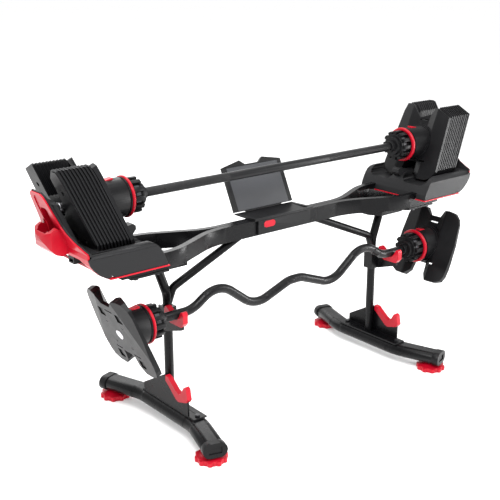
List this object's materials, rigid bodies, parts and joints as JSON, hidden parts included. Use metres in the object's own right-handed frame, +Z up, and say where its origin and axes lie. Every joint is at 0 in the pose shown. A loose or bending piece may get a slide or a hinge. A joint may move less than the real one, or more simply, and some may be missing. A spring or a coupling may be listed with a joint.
{
  "type": "selector barbell set on a rack",
  "caption": "Free-standing rack holding a straight selector barbell with plate stacks in two trays and a wavy curl bar with end plates in hooks, with levelling feet and a tablet shelf.",
  "frame": {"origin": "on the floor in the middle of the rack, under the middle of the straight bar", "axes": "+X along the bars to the right, -Y to the front where the curl bar hangs, +Z up"},
  "size_m": [1.536, 0.5676, 0.793],
  "materials": {
    "black_paint": "satin powder coat",
    "black_plastic": "fine textured",
    "plate_cover": "moulded cover, fine grain",
    "grey_plastic": "matt",
    "red_plastic": "satin",
    "dark_steel": "black oxide",
    "grip_steel": "satin black, knurled",
    "bright_steel": "brushed"
  },
  "bodies": {
    "rack": {"left_leg": "black_paint", "right_leg": "black_paint", "leg_caps": "black_plastic", "left_foot_bracket": "black_paint", "right_foot_bracket": "black_paint", "left_lower_hook": "red_plastic", "right_lower_hook": "red_plastic", "left_post": "black_paint", "right_post": "black_paint", "left_brace": "black_paint", "right_brace": "black_paint", "front_rail": "black_paint", "back_rail": "black_paint", "left_tray_bracket": "black_paint", "right_tray_bracket": "black_paint", "left_tray": "black_plastic", "right_tray": "black_plastic", "left_tray_base": "red_plastic", "right_tray_base": "red_plastic", "left_hook_bracket": "black_paint", "right_hook_bracket": "black_paint", "left_hook_insert": "red_plastic", "right_hook_insert": "red_plastic", "shelf_trough": "black_plastic", "shelf_panel": "grey_plastic", "shelf_frame": "black_plastic", "badge": "red_plastic", "rack_bolts": "dark_steel", "left_parked_plates": "plate_cover", "right_parked_plates": "plate_cover"},
    "straight_barbell": {"straight_bar": "dark_steel", "straight_grip": "grip_steel", "straight_end_bolts": "bright_steel", "straight_left_housing": "black_plastic", "straight_right_housing": "black_plastic", "straight_left_ring": "red_plastic", "straight_right_ring": "red_plastic", "straight_left_end_plate": "plate_cover", "straight_right_end_plate": "plate_cover", "left_lifted_plates": "plate_cover", "right_lifted_plates": "plate_cover"},
    "curl_barbell": {"curl_bar": "grip_steel", "curl_left_housing": "black_plastic", "curl_right_housing": "black_plastic", "curl_left_ring": "red_plastic", "curl_right_ring": "red_plastic", "curl_end_plates": "plate_cover", "curl_end_bolts": "bright_steel"},
    "straight_left_dial_body": {"straight_left_dial": "black_plastic"},
    "straight_left_release_body": {"straight_left_release": "red_plastic"},
    "straight_right_dial_body": {"straight_right_dial": "black_plastic"},
    "straight_right_release_body": {"straight_right_release": "red_plastic"},
    "curl_left_dial_body": {"curl_left_dial": "black_plastic"},
    "curl_left_release_body": {"curl_left_release": "red_plastic"},
    "curl_right_dial_body": {"curl_right_dial": "black_plastic"},
    "curl_right_release_body": {"curl_right_release": "red_plastic"},
    "foot_left_front_body": {"foot_left_front": "red_plastic"},
    "foot_left_back_body": {"foot_left_back": "red_plastic"},
    "foot_right_front_body": {"foot_right_front": "red_plastic"},
    "foot_right_back_body": {"foot_right_back": "red_plastic"}
  },
  "joints": [
    {"name": "straight_bar_lift", "type": "slide", "parent": "rack", "child": "straight_barbell", "axis": [0, 0, 1], "range_m": [0, 0.25]},
    {"name": "curl_bar_lift", "type": "slide", "parent": "rack", "child": "curl_barbell", "axis": [0, -0.5, 0.866], "range_m": [0, 0.045]},
    {"name": "straight_left_dial_turn", "type": "hinge", "parent": "straight_barbell", "child": "straight_left_dial_body", "pos_m": [-0.48, 0, 0.679], "axis": [1, 0, 0], "range_deg": [0, 320]},
    {"name": "straight_left_release_press", "type": "slide", "parent": "straight_barbell", "child": "straight_left_release_body", "axis": [0, 0, -1], "range_m": [0, 0.004], "stiffness_N_per_m": 600, "springref_m": -0.001},
    {"name": "straight_right_dial_turn", "type": "hinge", "parent": "straight_barbell", "child": "straight_right_dial_body", "pos_m": [0.48, 0, 0.679], "axis": [1, 0, 0], "range_deg": [0, 320]},
    {"name": "straight_right_release_press", "type": "slide", "parent": "straight_barbell", "child": "straight_right_release_body", "axis": [0, 0, -1], "range_m": [0, 0.004], "stiffness_N_per_m": 600, "springref_m": -0.001},
    {"name": "curl_left_dial_turn", "type": "hinge", "parent": "curl_barbell", "child": "curl_left_dial_body", "pos_m": [-0.48, -0.072, 0.353], "axis": [1, 0, 0], "range_deg": [0, 320]},
    {"name": "curl_left_release_press", "type": "slide", "parent": "curl_barbell", "child": "curl_left_release_body", "axis": [0, 0, -1], "range_m": [0, 0.004], "stiffness_N_per_m": 600, "springref_m": -0.001},
    {"name": "curl_right_dial_turn", "type": "hinge", "parent": "curl_barbell", "child": "curl_right_dial_body", "pos_m": [0.48, -0.072, 0.353], "axis": [1, 0, 0], "range_deg": [0, 320]},
    {"name": "curl_right_release_press", "type": "slide", "parent": "curl_barbell", "child": "curl_right_release_body", "axis": [0, 0, -1], "range_m": [0, 0.004], "stiffness_N_per_m": 600, "springref_m": -0.001},
    {"name": "foot_left_front_level", "type": "slide", "parent": "rack", "child": "foot_left_front_body", "axis": [0, 0, -1], "range_m": [0, 0.01]},
    {"name": "foot_left_back_level", "type": "slide", "parent": "rack", "child": "foot_left_back_body", "axis": [0, 0, -1], "range_m": [0, 0.01]},
    {"name": "foot_right_front_level", "type": "slide", "parent": "rack", "child": "foot_right_front_body", "axis": [0, 0, -1], "range_m": [0, 0.01]},
    {"name": "foot_right_back_level", "type": "slide", "parent": "rack", "child": "foot_right_back_body", "axis": [0, 0, -1], "range_m": [0, 0.01]}
  ]
}
